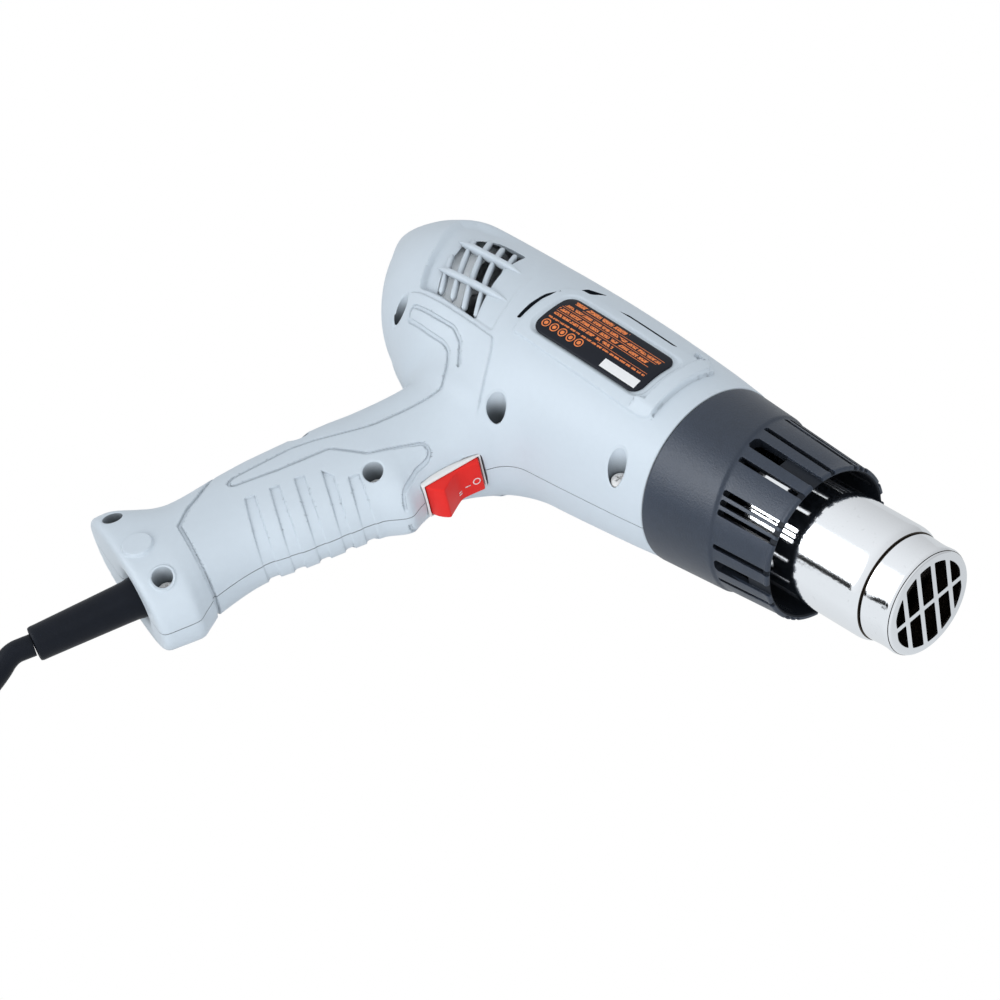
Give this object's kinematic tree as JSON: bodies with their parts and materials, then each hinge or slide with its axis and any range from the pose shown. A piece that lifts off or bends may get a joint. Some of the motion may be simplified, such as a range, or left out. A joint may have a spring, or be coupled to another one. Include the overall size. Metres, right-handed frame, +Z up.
{
  "type": "hot air tool",
  "caption": "Pistol-grip hot air tool with a vented two-part casing, slotted dark nose shield, bright steel nozzle with a stamped grille, three-position rocker switch and mains cord.",
  "frame": {"origin": "on the plane that the tool lies on, under the middle of the tool without its free cord", "axes": "+X forward to the nozzle, +Y away from the handle, +Z up out of the right side; the tool lies on its left side, rolled 8.5 degrees toward the butt and pitched 2.8 degrees nose down"},
  "size_m": [0.3522, 0.3522, 0.0781],
  "materials": {
    "casing": "light grey-blue moulded plastic",
    "shield": "dark slate moulded plastic, satin",
    "black_plastic": "black moulded plastic",
    "red_plastic": "red, with white position marks",
    "label": "dark plate with plain bars and a white patch",
    "nozzle": "bright drawn steel",
    "steel": "plain",
    "brass": "plain",
    "heater_wire": "oxidised resistance wire",
    "mica": "mica sheet",
    "ceramic": "unglazed ceramic",
    "board": "printed board",
    "rubber": "black cord jacket"
  },
  "bodies": {
    "tool": {"housing_right": "casing", "housing_left": "casing", "screw_rear": "steel", "screw_waist": "steel", "screw_front": "steel", "screw_grip_front": "steel", "screw_grip_back": "steel", "screw_butt_front": "steel", "screw_butt_back": "steel", "label_plate": "label", "nose_shield": "shield", "nozzle_tube": "nozzle", "nozzle_cap": "nozzle", "mica_sleeve": "mica", "heater_base": "ceramic", "heater_end_disc": "ceramic", "heater_core": "ceramic", "heating_coil": "heater_wire", "air_duct": "shield", "motor_can": "steel", "motor_end_cap": "black_plastic", "rectifier_board": "board", "motor_mount": "casing", "switch_body": "black_plastic", "switch_terminal_1": "brass", "switch_terminal_2": "brass", "switch_terminal_3": "brass", "strain_relief": "rubber", "cord_stub": "rubber", "cord_clamp": "black_plastic", "clamp_screw_1": "steel", "clamp_screw_2": "steel", "live_wire": "rubber", "motor_wire": "rubber", "heater_wire": "rubber", "neutral_wire": "rubber", "cord_lead": "rubber", "cord_coil": "rubber", "cord_tail": "rubber", "coil_tie": "black_plastic", "plug_body": "rubber", "plug_blade_1": "brass", "plug_blade_2": "brass"},
    "fan_rotor": {"fan_impeller": "black_plastic", "motor_shaft": "steel"},
    "rocker": {"switch_rocker": "red_plastic"},
    "lever": {"contact_lever": "brass"}
  },
  "joints": [
    {"name": "fan_spin", "type": "hinge", "parent": "tool", "child": "fan_rotor", "pos_m": [-0.05303, 0.07651, 0.03843], "axis": [0.9988, 0, -0.0488], "continuous": true},
    {"name": "rocker_tilt", "type": "hinge", "parent": "tool", "child": "rocker", "pos_m": [-0.03102, 0.02276, 0.0293], "axis": [-0.0483, 0.1482, -0.9878], "range_deg": [0, 24]},
    {"name": "lever_tilt", "type": "hinge", "parent": "tool", "child": "lever", "pos_m": [-0.0394, 0.02406, 0.0299], "axis": [-0.0483, 0.1482, -0.9878], "range_deg": [-12, 0]}
  ],
  "couplings": [
    {"joint": "lever_tilt", "follows": "rocker_tilt", "ratio": -0.5}
  ]
}
